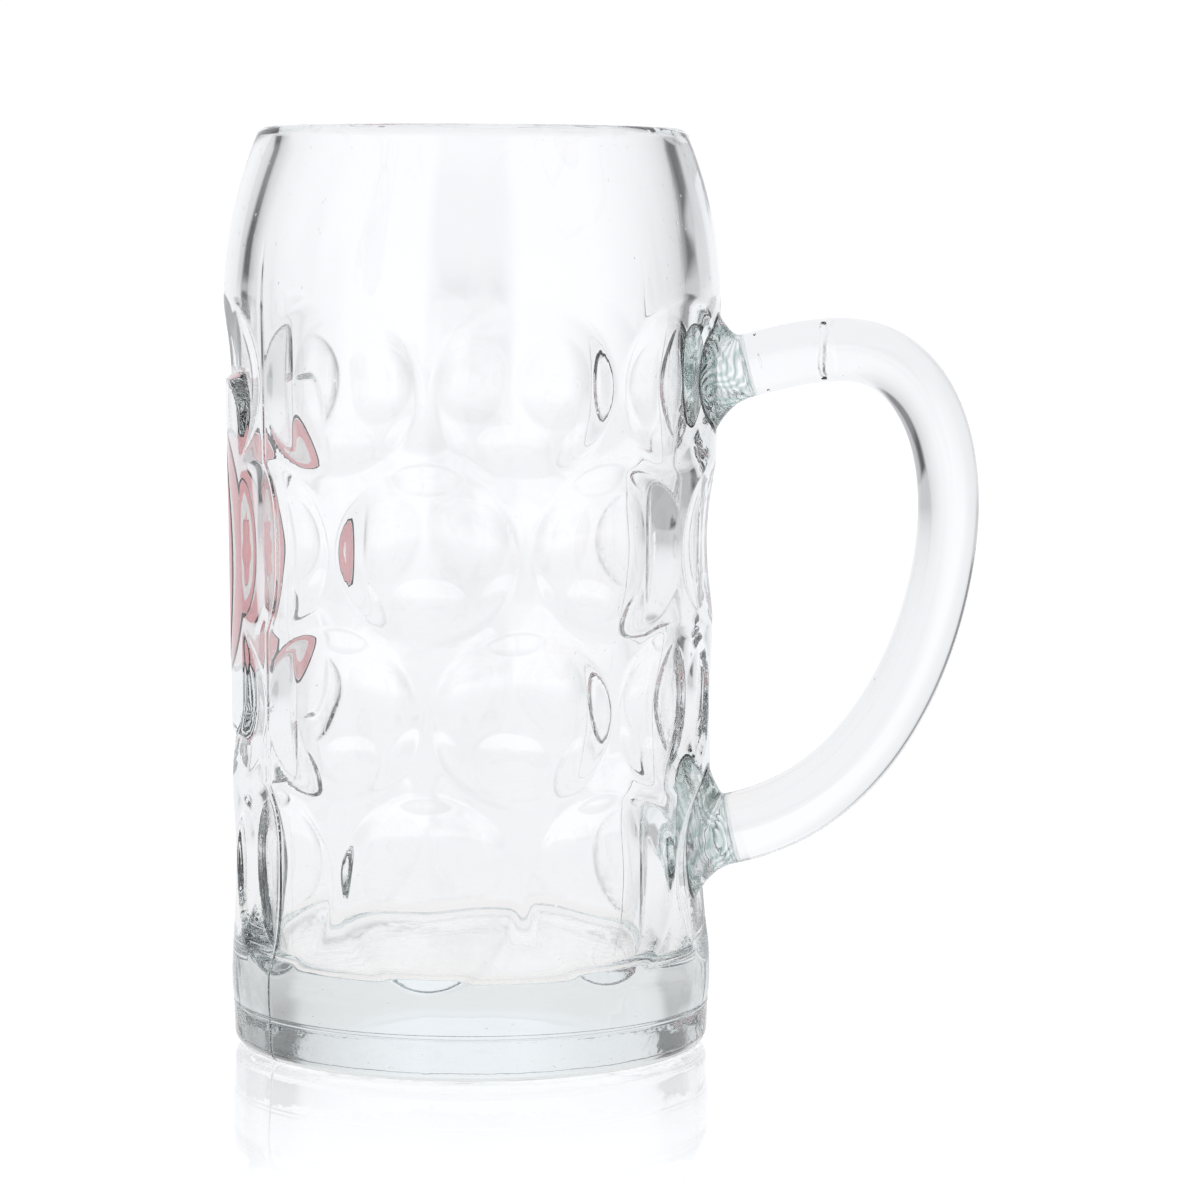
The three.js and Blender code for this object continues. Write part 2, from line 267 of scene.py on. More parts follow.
def make_mesh(name, points, quads, triangles=None):
    """Mesh from an array of points in millimetres, an array of quads and one of triangles."""
    mesh = bpy.data.meshes.new(name)
    corners = [np.asarray(quads, np.int32).reshape(-1, 4)]
    if triangles is not None:
        corners.append(np.asarray(triangles, np.int32).reshape(-1, 3))
    sizes = np.concatenate([np.full(len(part), part.shape[1], np.int32) for part in corners])
    loops = np.concatenate([part.ravel() for part in corners])
    starts = np.concatenate([[0], np.cumsum(sizes)[:-1]]).astype(np.int32)
    places = (np.asarray(points, np.float64) * MM).astype(np.float32)
    mesh.vertices.add(len(points))
    mesh.vertices.foreach_set("co", places.ravel())
    mesh.loops.add(len(loops))
    mesh.loops.foreach_set("vertex_index", loops)
    mesh.polygons.add(len(sizes))
    mesh.polygons.foreach_set("loop_start", starts)
    mesh.update(calc_edges=True)
    mesh.validate()
    mesh.shade_smooth()
    return mesh


def add_piece(name, mesh, material, node):
    """Object for a mesh that stands for one CAD node and takes its finish from a material slot."""
    piece = bpy.data.objects.new(name, mesh)
    bpy.context.scene.collection.objects.link(piece)
    mesh.materials.append(material)
    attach(piece, "root")
    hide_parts(node)
    return piece


def grid_quads(rows, columns, first=0):
    """Quads of a grid of rows by columns whose columns close on themselves."""
    index = first + np.arange(rows * columns).reshape(rows, columns)
    ahead = np.roll(index, -1, axis=1)
    return np.stack([index[:-1], ahead[:-1], ahead[1:], index[1:]], axis=-1).reshape(-1, 4)


def fan(pole, ring, outwards):
    """Triangles from one point to a closed ring, turned over where outwards is false."""
    ahead = np.roll(ring, -1)
    sides = (ring, ahead) if outwards else (ahead, ring)
    return np.stack([np.full(len(ring), pole), *sides], axis=-1)


def capped_tube(name, start, rings, end):
    """Closed surface of rings (rows, columns, 3) with a point at each end. The rings turn
    anticlockwise about the way that they advance."""
    rows, columns = rings.shape[:2]
    points = np.concatenate([[start], rings.reshape(-1, 3), [end]])
    first = 1 + np.arange(columns)
    last = first + (rows - 1) * columns
    caps = np.concatenate([fan(0, first, False), fan(len(points) - 1, last, True)])
    return make_mesh(name, points, grid_quads(rows, columns, 1), caps)


# Vessel

lip_radius = RIM_WALL / 2
lip_height = MUG_HEIGHT - lip_radius
collar_lean = math.atan2(2 * (SHOULDER_RADIUS - RIM_RADIUS), lip_height - SHOULDER_HEIGHT)
collar_top = lip_height + lip_radius * math.sin(collar_lean)


def bend(start, end, share):
    """Radius from start at a share of 0 to end at a share of 1, by the share's square."""
    return start + (end - start) * share ** 2


def wall_radius(z):
    """Outer radius without dimples: a straight heel on a round toe, a slow parabola up to the
    shoulder and a quicker one in to the rim. Above the heel's crease the wall bulges by a cubic
    s(1 - s)^2, whose peak is 4/27."""
    z = np.asarray(z, float)
    toe = TOE_RADIUS * (1 - np.sqrt(1 - np.clip(1 - z / TOE_RADIUS, 0, 1) ** 2))
    heel_start = FOOT_RADIUS + TOE_RADIUS
    heel = heel_start + (HEEL_RADIUS - heel_start) * z / HEEL_HEIGHT - toe
    rise = np.clip((z - HEEL_HEIGHT) / BULGE_REACH, 0, 1)
    bulge = BASE_BULGE / BULGE_CURVE_PEAK * rise * (1 - rise) ** 2
    side_share = (z - HEEL_HEIGHT) / (SHOULDER_HEIGHT - HEEL_HEIGHT)
    side = bend(HEEL_RADIUS, SHOULDER_RADIUS, side_share) + bulge
    collar_share = (z - SHOULDER_HEIGHT) / (collar_top - SHOULDER_HEIGHT)
    collar = bend(SHOULDER_RADIUS, RIM_RADIUS, collar_share)
    return np.where(z < HEEL_HEIGHT, heel, np.where(z < SHOULDER_HEIGHT, side, collar))


def angle_between(angle, other):
    """Signed difference of two angles, from minus half a turn to half a turn."""
    return (angle - other + math.pi) % FULL_TURN - math.pi


def dimple_depth(angle, z):
    """Depth of the dimples: bowls d(1 - s^p) of the share s of the way from the middle to the oval
    edge on the unrolled wall. The edge is eased by the smooth maximum of bowl and wall. Every second
    row is half a pitch round, and the lowest row is stretched a little towards the base."""
    pitch = FULL_TURN / DIMPLES_AROUND
    depth = np.zeros(np.broadcast(angle, z).shape)
    for row in range(DIMPLE_ROWS):
        turn = angle / pitch - (row % 2) / 2
        across = (turn - np.round(turn)) * pitch * wall_radius(z) / (DIMPLE_WIDTH / 2)
        over = z - (FIRST_ROW_HEIGHT + row * ROW_PITCH)
        along = over / (DIMPLE_HEIGHT / 2 + np.where(over < 0, LOWEST_STRETCH * (row == 0), 0))
        bowl = 1 - np.hypot(across, along) ** BOWL_POWER
        eased = (bowl + np.sqrt(bowl ** 2 + DIMPLE_EDGE ** 2)) / 2
        depth = np.maximum(depth, DIMPLE_DEPTH * eased * (bowl > BOWL_LIMIT))
    return depth


def panel_share(angle, z):
    """1 on the panel and 0 off it: a smooth step across the edge of a rectangle with round corners."""
    across = np.abs(angle_between(angle, math.pi)) * wall_radius(z)
    over_x = across - (PANEL_WIDTH / 2 - PANEL_CORNER_RADIUS)
    over_z = np.abs(z - PANEL_MIDDLE_HEIGHT) - (PANEL_HEIGHT / 2 - PANEL_CORNER_RADIUS)
    corner = np.hypot(np.maximum(over_x, 0), np.maximum(over_z, 0))
    outside = np.minimum(np.maximum(over_x, over_z), 0) + corner - PANEL_CORNER_RADIUS
    share = np.clip(0.5 - outside / PANEL_EDGE, 0, 1)
    return share ** 2 * (3 - 2 * share)


def seam_ridge(angle, z):
    """Low ridges where the mould's halves and its base met: a bell curve across each seam."""
    ridge = np.zeros(np.broadcast(angle, z).shape)
    for seam in SEAM_ANGLES:
        across = angle_between(angle, seam) * wall_radius(z)
        ridge = ridge + SEAM_HEIGHT * np.exp(-(across / SEAM_HALF_WIDTH) ** 2)
    fade = np.clip((SEAM_TOP - z) / SEAM_FADE, 0, 1)
    heel = HEEL_SEAM_HEIGHT * np.exp(-((z - HEEL_HEIGHT) / HEEL_SEAM_HALF_WIDTH) ** 2)
    return ridge * fade + heel


def outer_radius(angle, z):
    """Outer radius of the glass with dimples, panel and mould seams."""
    dimples = dimple_depth(angle, z) * (1 - panel_share(angle, z))
    return wall_radius(z) - dimples + seam_ridge(angle, z)


def blown_wave(angle, z):
    """Slow unevenness of the inside, which no mould touched: it sits a little away from the handle,
    and has three, five and two long waves round it that turn with the height."""
    threes = np.sin(3 * angle + 0.7 + z / 41) * np.cos(z / 23)
    fives = 0.7 * np.sin(5 * angle - 1.9 + z / 29)
    twos = 0.5 * np.cos(2 * angle + z / 13 + 0.4)
    return -BLOWN_OFFSET * np.cos(angle) + BLOWN_WAVE * (threes + fives + twos)


def outline_heights():
    """Heights of the outer rings: close at the toe and the heel's seam, below a millimetre on the
    wall."""
    seam_start = HEEL_HEIGHT - HEEL_SEAM_REACH
    seam_end = HEEL_HEIGHT + HEEL_SEAM_REACH
    toe = TOE_RADIUS * (1 - np.cos(np.linspace(0, math.pi / 2, TOE_RINGS)[:-1]))
    heel = np.linspace(TOE_RADIUS, seam_start, HEEL_RINGS)[:-1]
    seam = np.linspace(seam_start, seam_end, HEEL_SEAM_RINGS)[:-1]
    wall = np.linspace(seam_end, COLLAR_START, WALL_RINGS)[:-1]
    collar = np.linspace(COLLAR_START, collar_top, COLLAR_RINGS)
    return np.concatenate([toe, heel, seam, wall, collar])


def inner_outline(lip_end):
    """Radius and height of the inside: collar parabola, straight side, round corner, flat floor."""
    shoulder = SHOULDER_RADIUS - SHOULDER_WALL
    side = HEEL_RADIUS - LOWER_WALL
    share = np.linspace(1, 0, COLLAR_RINGS)[1:]
    collar = np.stack([bend(shoulder, lip_end[0], share),
                       SHOULDER_HEIGHT + (lip_end[1] - SHOULDER_HEIGHT) * share], axis=-1)
    corner_top = BASE_THICKNESS + FLOOR_CORNER_RADIUS
    down = np.linspace(0, 1, INNER_WALL_RINGS)[1:-1]
    straight = np.stack([shoulder + (side - shoulder) * down,
                         SHOULDER_HEIGHT + (corner_top - SHOULDER_HEIGHT) * down], axis=-1)
    turn = np.linspace(0, math.pi / 2, CORNER_RINGS)
    corner = np.stack([side - FLOOR_CORNER_RADIUS * (1 - np.cos(turn)),
                       corner_top - FLOOR_CORNER_RADIUS * np.sin(turn)], axis=-1)
    floor = np.linspace(side - FLOOR_CORNER_RADIUS, 0, FLOOR_RINGS)[1:-1]
    flat = np.stack([floor, np.full_like(floor, BASE_THICKNESS)], axis=-1)
    return np.concatenate([collar, straight, corner, flat])


def ring_angles():
    """Even angles round the mug, with closer ones over each mould seam."""
    even = np.linspace(0, FULL_TURN, VESSEL_COLUMNS, endpoint=False)
    close = np.radians(SEAM_COLUMN_DEGREES)
    seams = np.concatenate([seam + close for seam in SEAM_ANGLES])
    return np.sort(np.concatenate([even, seams % FULL_TURN]))


def turned(radius, height, angle):
    """Rings (rows, columns, 3) about Z from radii and heights."""
    return np.stack([radius * np.cos(angle), radius * np.sin(angle), height + 0 * angle], axis=-1)


def halving_strip(fine, coarse):
    """Triangles between a ring and one with every second of its columns."""
    here, between, ahead = fine[::2], fine[1::2], np.roll(fine[::2], -1)
    beside = np.roll(coarse, -1)
    return np.concatenate([np.stack([here, between, coarse], axis=-1),
                           np.stack([between, ahead, beside], axis=-1),
                           np.stack([between, beside, coarse], axis=-1)])


def vessel_mesh():
    """The outline turned about Z: underside, outer wall with its relief and half-round lip, then the
    inside with half as many columns, whose waves fade out at the rim and in the floor's middle."""
    angle = ring_angles()[None, :]
    under = np.linspace(0, FOOT_RADIUS, UNDERSIDE_RINGS)[1:-1]
    outer_z = outline_heights()[:, None]
    turn = collar_lean + np.linspace(0, math.pi, LIP_RINGS)[1:]
    lip_middle = RIM_RADIUS - lip_radius * math.cos(collar_lean)
    lip = np.stack([lip_middle + lip_radius * np.cos(turn),
                    lip_height + lip_radius * np.sin(turn)], axis=-1)
    even = np.ones_like(angle)
    radius = np.concatenate([under[:, None] * even,
                             outer_radius(angle, outer_z),
                             lip[:, :1] * even])
    height = np.concatenate([0 * under, outer_z[:, 0], lip[:, 1]])[:, None]
    outside = turned(radius, height, angle)
    half = angle[:, ::2]
    inner = inner_outline(lip[-1])
    wave = blown_wave(half, inner[:, 1:])
    wave = wave * np.clip((inner[:, :1] - BLOWN_FLOOR_RADIUS) / BLOWN_FADE, 0, 1)
    wave = wave * np.clip((lip[-1, 1] - inner[:, 1:]) / BLOWN_FADE, 0, 1)
    inside = turned(inner[:, :1] + wave, inner[:, 1:], half)
    rows, columns = outside.shape[:2]
    inner_rows, inner_columns = inside.shape[:2]
    points = np.concatenate([[(0, 0, 0)], outside.reshape(-1, 3), inside.reshape(-1, 3),
                             [(0, 0, BASE_THICKNESS)]])
    inside_start = 1 + rows * columns
    quads = np.concatenate([grid_quads(rows, columns, 1),
                            grid_quads(inner_rows, inner_columns, inside_start)])
    last_outside = inside_start - columns + np.arange(columns)
    first_inside = inside_start + np.arange(inner_columns)
    last_inside = len(points) - 1 - inner_columns + np.arange(inner_columns)
    triangles = np.concatenate([fan(0, 1 + np.arange(columns), False),
                                halving_strip(last_outside, first_inside),
                                fan(len(points) - 1, last_inside, True)])
    return make_mesh("mug_body_glass", points, quads, triangles)


# Handle and welds

def joint_point(height, standoff):
    """Middle of the rod's end, standing off the plain wall at a height."""
    return np.array([float(wall_radius(height)) + standoff, 0.0, height])


def lean_way(lean):
    """Unit vector in the XZ plane that points outwards and leans up."""
    return np.array([math.cos(lean), 0.0, math.sin(lean)])


upper_joint = joint_point(UPPER_WELD_HEIGHT, UPPER_WELD_STANDOFF)
lower_joint = joint_point(LOWER_WELD_HEIGHT, LOWER_WELD_STANDOFF)
upper_way = lean_way(UPPER_LEAN)
lower_way = lean_way(LOWER_LEAN)


def bezier(start, start_pull, end_pull, end):
    """Points on a cubic Bezier curve between two ends, with a control point near each."""
    t = np.linspace(0, 1, CURVE_STEPS)[:, None]
    near_start = (1 - t) ** 3 * start + 3 * (1 - t) ** 2 * t * start_pull
    return near_start + 3 * (1 - t) * t ** 2 * end_pull + t ** 3 * end


def even_path(points, count):
    """Points at even steps along a polyline."""
    steps = np.linalg.norm(np.diff(points, axis=0), axis=1)
    length = np.concatenate([[0], np.cumsum(steps)])
    places = np.linspace(0, length[-1], count)
    return np.stack([np.interp(places, length, points[:, k]) for k in range(3)], axis=-1)


def handle_path():
    """Middle line of the rod: a short rise to the peak, a tight shoulder, a long sweep down."""
    outwards = np.array([1.0, 0, 0])
    upwards = np.array([0, 0, 1.0])
    peak = np.array([SHOULDER_RADIUS + HANDLE_PEAK_REACH, 0, HANDLE_PEAK_HEIGHT])
    grip = np.array([SHOULDER_RADIUS + HANDLE_GRIP_REACH, 0, HANDLE_GRIP_HEIGHT])
    start = upper_joint - WELD_SINK * upper_way
    end = lower_joint - WELD_SINK * lower_way
    rise = peak[0] - start[0]
    across = grip[0] - peak[0]
    fall = peak[2] - grip[2]
    sweep = grip[2] - end[2]
    first = bezier(start, start + START_PULL * rise * upper_way,
                   peak - PEAK_PULL_BACK * rise * outwards, peak)
    second = bezier(peak, peak + PEAK_PULL_ON * across * outwards,
                    grip + GRIP_PULL_UP * fall * upwards, grip)
    third = bezier(grip, grip - GRIP_PULL_DOWN * sweep * upwards,
                   end + END_PULL * sweep * lower_way, end)
    return even_path(np.concatenate([first, second[1:], third[1:]]), HANDLE_RINGS)


def fold_groove(points):
    """Depth of the fold mark: a bell curve across a line on the front of the rod's upper part."""
    across = (points[..., 0] - SHOULDER_RADIUS - FOLD_REACH) / FOLD_HALF_WIDTH
    front = np.clip((-points[..., 1] - FOLD_FRONT) / FOLD_FADE, 0, 1)
    upper = points[..., 2] > HANDLE_GRIP_HEIGHT
    return FOLD_DEPTH * np.exp(-across ** 2) * front * upper


def handle_mesh():
    """Oval section carried along the handle's path. Its thickness goes evenly from one end's to the
    other's, less a waist that is the square of half a sine wave. The fold mark is pressed in."""
    path = handle_path()
    tangent = np.gradient(path, axis=0)
    tangent[0] = upper_way
    tangent[-1] = -lower_way
    tangent /= np.linalg.norm(tangent, axis=1, keepdims=True)
    outwards = np.stack([-tangent[:, 2], 0 * tangent[:, 0], tangent[:, 0]], axis=-1)
    share = np.linspace(0, 1, len(path))[:, None]
    turn = np.linspace(0, FULL_TURN, ROD_COLUMNS, endpoint=False)[None, :]
    thickness = ROD_THICKNESS_TOP + (ROD_THICKNESS_BOTTOM - ROD_THICKNESS_TOP) * share
    thickness = thickness - ROD_WAIST * np.sin(math.pi * share) ** 2
    across = thickness / 2 * np.cos(turn)
    sideways = ROD_WIDTH / 2 * np.sin(turn) * np.ones_like(share)
    rings = path[:, None, :] + across[..., None] * outwards[:, None, :]
    rings[..., 1] -= sideways
    inwards = path[:, None, :] - rings
    inwards /= np.linalg.norm(inwards, axis=-1, keepdims=True)
    rings += fold_groove(rings)[..., None] * inwards
    return capped_tube("handle_glass", path[0], rings, path[-1])


def seat_on_wall(points):
    """Moves points along the radius to the weld's seat, a little inside the mug's wall."""
    angle = np.arctan2(points[..., 1], points[..., 0])
    radius = outer_radius(angle, points[..., 2]) - WELD_SINK
    seated = points.copy()
    seated[..., 0] = radius * np.cos(angle)
    seated[..., 1] = radius * np.sin(angle)
    return seated


def weld_mesh(name, joint, way, thickness, foot_height, foot_width):
    """Blob from the rod's section to an oval foot on the wall. The skin goes from the joint's ring to
    the foot's ring, evenly along the rod and by a power of that share across it; the foot's face
    follows the dimpled wall."""
    turn = np.linspace(0, FULL_TURN, ROD_COLUMNS, endpoint=False)[None, :]
    upwards = np.array([-way[2], 0, way[0]])
    sideways = np.array([0.0, 1.0, 0.0])

    def ring(middle, height, width):
        return (middle + height / 2 * np.cos(turn)[..., None] * upwards
                + width / 2 * np.sin(turn)[..., None] * sideways)

    foot_middle = joint - way * (joint[0] - float(wall_radius(joint[2]))) / way[0]
    foot = seat_on_wall(ring(foot_middle, foot_height, foot_width))[0]
    mouth = ring(joint, thickness, ROD_WIDTH)[0]
    share = np.linspace(0, 1, WELD_RINGS)[:, None, None]
    depth = (foot - mouth) @ way
    skin_along = depth[:, None] * way
    skin_across = (foot - mouth) - skin_along
    skin = mouth + share * skin_along + share ** WELD_FLARE_POWER * skin_across
    middle = seat_on_wall(foot_middle[None, :])[0]
    inwards = np.linspace(1, 0, SOLE_RINGS)[1:-1][:, None, None]
    sole = seat_on_wall(middle + inwards * (foot - middle))
    return capped_tube(name, joint, np.concatenate([skin, sole]), middle)


# Enamel

def badge_oval(depth):
    """Oval that lies a depth inside the badge's edge, as places across and along the panel."""
    return np.stack([(BADGE_WIDTH / 2 - depth) * np.cos(badge_turn),
                     (BADGE_HEIGHT / 2 - depth) * np.sin(badge_turn)], axis=-1)


def badge_rosette(spare):
    """Round outline with petals: the radius falls by a share between them."""
    petal = 1 - PETAL_SHARE * (0.5 - 0.5 * np.cos(ROSETTE_PETALS * badge_turn))
    radius = ROSETTE_DIAMETER / 2 * petal + spare
    return np.stack([radius * np.cos(badge_turn), radius * np.sin(badge_turn)], axis=-1)


def on_panel(places, lift):
    """Places across and along the panel, wrapped round the mug at a height above the glass."""
    z = PANEL_MIDDLE_HEIGHT + places[..., 1]
    surface = wall_radius(z)
    angle = math.pi - places[..., 0] / surface
    radius = surface + lift
    return np.stack([radius * np.cos(angle), radius * np.sin(angle), z], axis=-1)


def enamel_mesh(name, inner, outer, rows):
    """Thin layer between two outlines, wrapped on the panel: underside, edge, top, inner edge."""
    share = np.linspace(0, 1, rows)[:, None, None]
    flat = inner + share * (outer - inner)
    low = on_panel(flat, -ENAMEL_SINK)
    high = on_panel(flat, ENAMEL_THICKNESS - ENAMEL_SINK)[::-1]
    loop = np.concatenate([low, high, low[:1]])
    rings, columns = loop.shape[:2]
    quads = grid_quads(rings, columns)
    last = (rings - 1) * columns
    quads = np.where(quads >= last, quads - last, quads)
    return make_mesh(name, loop[:-1].reshape(-1, 3), quads)


def enamel_disc_mesh(name, outer, rows):
    """Thin layer inside one outline, wrapped on the panel, with a point at each face's middle."""
    share = np.linspace(0, 1, rows)[1:][:, None, None]
    flat = share * outer
    low = on_panel(flat, -ENAMEL_SINK)
    high = on_panel(flat, ENAMEL_THICKNESS - ENAMEL_SINK)[::-1]
    middle = np.zeros(2)
    return capped_tube(name, on_panel(middle, -ENAMEL_SINK), np.concatenate([low, high]),
                       on_panel(middle, ENAMEL_THICKNESS - ENAMEL_SINK))


# Node helpers

def link_value(tree, socket, value):
    """Fills an input from a socket, or sets it to a value."""
    if isinstance(value, bpy.types.NodeSocket):
        tree.links.new(value, socket)
    else:
        socket.default_value = value


def link_math(tree, operation, first, second):
    """Math node whose two inputs are sockets or numbers."""
    node = tree.nodes.new("ShaderNodeMath")
    node.operation = operation
    link_value(tree, node.inputs[0], first)
    link_value(tree, node.inputs[1], second)
    return node.outputs["Value"]


def link_range(tree, value, fade, at_start, at_end, smooth=True):
    """Map Range node: a socket's fade from its start to its end becomes a range of values."""
    node = tree.nodes.new("ShaderNodeMapRange")
    node.interpolation_type = "SMOOTHSTEP" if smooth else "LINEAR"
    names = ("From Min", "From Max", "To Min", "To Max")
    for name, number in zip(names, (*fade, at_start, at_end)):
        node.inputs[name].default_value = number
    tree.links.new(value, node.inputs["Value"])
    return node.outputs["Result"]


def link_mix(tree, factor, first, second, tint=STUDIO_TINT):
    """Mix of two colours, each a socket or a level of light of a tint."""
    node = tree.nodes.new("ShaderNodeMix")
    node.data_type = "RGBA"
    tree.links.new(factor, node.inputs["Factor"])
    for name, value in (("A", first), ("B", second)):
        if not isinstance(value, bpy.types.NodeSocket):
            value = (*(value * channel for channel in tint), 1)
        link_value(tree, node.inputs[name], value)
    return node.outputs["Result"]


def link_scaled(tree, vector, factors):
    """Vector times a factor on each axis."""
    node = tree.nodes.new("ShaderNodeVectorMath")
    node.operation = "MULTIPLY"
    link_value(tree, node.inputs[0], vector)
    node.inputs[1].default_value = factors
    return node.outputs["Vector"]


def link_length(tree, vector):
    """Length of a vector."""
    node = tree.nodes.new("ShaderNodeVectorMath")
    node.operation = "LENGTH"
    tree.links.new(vector, node.inputs[0])
    return node.outputs["Value"]


def link_axes(tree, vector):
    """Sockets of a vector's X, Y and Z."""
    node = tree.nodes.new("ShaderNodeSeparateXYZ")
    tree.links.new(vector, node.inputs["Vector"])
    return node.outputs


def link_texture(tree, kind, place, sizes):
    """Texture node of a kind on a socket of places, with its named sizes."""
    node = tree.nodes.new(kind)
    for name, size in sizes.items():
        node.inputs[name].default_value = size
    tree.links.new(place, node.inputs["Vector"])
    return node


def link_ramp(tree, value, low, high, places=(0, 1)):
    """Colour Ramp node between two colours at two places."""
    node = tree.nodes.new("ShaderNodeValToRGB")
    for element, colour, place in zip(node.color_ramp.elements, (low, high), places):
        element.color = colour
        element.position = place
    tree.links.new(value, node.inputs["Fac"])
    return node.outputs["Color"]


def link_bump(tree, height, distance):
    """Bump in the Principled shader's normal, from a socket of heights."""
    bump = tree.nodes.new("ShaderNodeBump")
    bump.inputs["Distance"].default_value = distance
    tree.links.new(height, bump.inputs["Height"])
    shader = tree.nodes["Principled BSDF"]
    tree.links.new(bump.outputs["Normal"], shader.inputs["Normal"])


# Materials

def new_material(name):
    """Material with its node tree, its Principled shader and a socket of places on the piece."""
    material = bpy.data.materials.new(name)
    material.use_nodes = True
    tree = material.node_tree
    place = tree.nodes.new("ShaderNodeTexCoord").outputs["Object"]
    return material, tree, tree.nodes["Principled BSDF"], place


def new_glass(name, roughness=0.0):
    """Clear soda-lime glass with a pale blue-green absorption inside."""
    material, tree, shader, place = new_material(name)
    shader.inputs["Base Color"].default_value = WHITE
    shader.inputs["Transmission Weight"].default_value = 1.0
    shader.inputs["Roughness"].default_value = roughness
    shader.inputs["IOR"].default_value = GLASS_IOR
    body = tree.nodes.new("ShaderNodeVolumeAbsorption")
    body.inputs["Color"].default_value = GLASS_COLOUR
    body.inputs["Density"].default_value = GLASS_DENSITY
    tree.links.new(body.outputs["Volume"], tree.nodes["Material Output"].inputs["Volume"])
    return material, tree, shader, place


def glass_material():
    """The vessel's glass: a faint slow ripple with small seeds, a mottled heel, and under the foot a
    wavy ring round a smooth disc."""
    material, tree, _, place = new_glass("clear_glass")
    z = link_axes(tree, place)["Z"]
    reach = link_length(tree, link_scaled(tree, place, (1, 1, 0)))
    under = link_range(tree, z, UNDERSIDE_FADE, 1, 0)
    ring = link_math(tree, "MULTIPLY", under, link_range(tree, reach, UNDERSIDE_RING_FADE, 0, 1))
    ripple = link_texture(tree, "ShaderNodeTexNoise", place,
                          {"Scale": RIPPLE_SCALE, "Detail": 1.0})
    seeds = link_texture(tree, "ShaderNodeTexVoronoi", place, {"Scale": SEED_SCALE})
    pits = link_range(tree, seeds.outputs["Distance"], SEED_EDGE, -SEED_DEPTH, 0)
    chill = link_texture(tree, "ShaderNodeTexNoise", place, {"Scale": CHILL_SCALE})
    heel = link_math(tree, "MULTIPLY", link_range(tree, z, HEEL_MOTTLE_END, HEEL_MOTTLE, 0),
                     link_range(tree, z, HEEL_MOTTLE_START, 0, 1))
    rough = link_math(tree, "ADD", link_math(tree, "MULTIPLY", ring, UNDERSIDE_WAVES), heel)
    waves = link_math(tree, "MULTIPLY", chill.outputs["Fac"], rough)
    smooth = link_math(tree, "ADD", ripple.outputs["Fac"], pits)
    link_bump(tree, link_math(tree, "ADD", smooth, waves), GLASS_BUMP)
    return material


def handle_material():
    """The rod's glass: scattered pits, and a fold mark that strays a little across the rod's front."""
    material, tree, _, place = new_glass("handle_glass")
    axes = link_axes(tree, place)
    pits = link_texture(tree, "ShaderNodeTexVoronoi", place, {"Scale": PIT_SCALE})
    hollow = link_range(tree, pits.outputs["Distance"], PIT_EDGE, -PIT_DEPTH, 0)
    wander = link_texture(tree, "ShaderNodeTexNoise", place, {"Scale": WANDER_SCALE})
    stray = link_range(tree, wander.outputs["Fac"], (0, 1), -FOLD_WANDER, FOLD_WANDER, False)
    across = link_math(tree, "SUBTRACT", axes["X"], (SHOULDER_RADIUS + FOLD_REACH) * MM)
    beside = link_math(tree, "ABSOLUTE", link_math(tree, "ADD", across, stray), 0)
    groove = link_range(tree, beside, (0, FOLD_MARK_HALF_WIDTH), -FOLD_MARK_DEPTH, 0)
    front_fade = (-(FOLD_FRONT + FOLD_FADE) * MM, -FOLD_FRONT * MM)
    front = link_range(tree, axes["Y"], front_fade, 1, 0)
    upper = link_range(tree, axes["Z"], FOLD_MARK_RISE, 0, 1)
    fold = link_math(tree, "MULTIPLY", link_math(tree, "MULTIPLY", groove, front), upper)
    link_bump(tree, link_math(tree, "ADD", hollow, fold), GLASS_BUMP)
    return material


def weld_material():
    """Glass that was worked hot: swirled cords, a little greener than the rest."""
    material, tree, shader, place = new_glass("weld_glass", WELD_ROUGHNESS)
    swirl = link_texture(tree, "ShaderNodeTexWave", place, SWIRL_SIZES)
    swirl.wave_type = "RINGS"
    swirl.rings_direction = "Z"
    tint = link_ramp(tree, swirl.outputs["Fac"], WELD_TINT, WHITE, SWIRL_RAMP)
    tree.links.new(tint, shader.inputs["Base Color"])
    link_bump(tree, swirl.outputs["Fac"], WELD_BUMP)
    return material


def enamel_material(name, colour):
    """Fired enamel: even colour with faint mottling and a satin skin. Its side towards the glass,
    which faces +X, has painted light: it glows a little, standing in for light that the enamel passes
    and that the glass gathers on it."""
    material, tree, shader, place = new_material(name)
    noise = link_texture(tree, "ShaderNodeTexNoise", place, {"Scale": MOTTLE_SCALE})
    dark = [MOTTLE_DARK * channel for channel in colour]
    light = [min(1.0, MOTTLE_LIGHT * channel) for channel in colour]
    mottled = link_ramp(tree, noise.outputs["Fac"], (*dark, 1), (*light, 1))
    normal = tree.nodes.new("ShaderNodeNewGeometry").outputs["Normal"]
    # Painted light: emission on the enamel's faces turned towards the glass
    glow = link_range(tree, link_axes(tree, normal)["X"], PAINTED_GLOW_FACING, 0, ENAMEL_PAINTED_GLOW)
    tree.links.new(mottled, shader.inputs["Base Color"])
    tree.links.new(mottled, shader.inputs["Emission Color"])
    tree.links.new(glow, shader.inputs["Emission Strength"])
    shader.inputs["Roughness"].default_value = ENAMEL_ROUGHNESS
    return material


# Stage

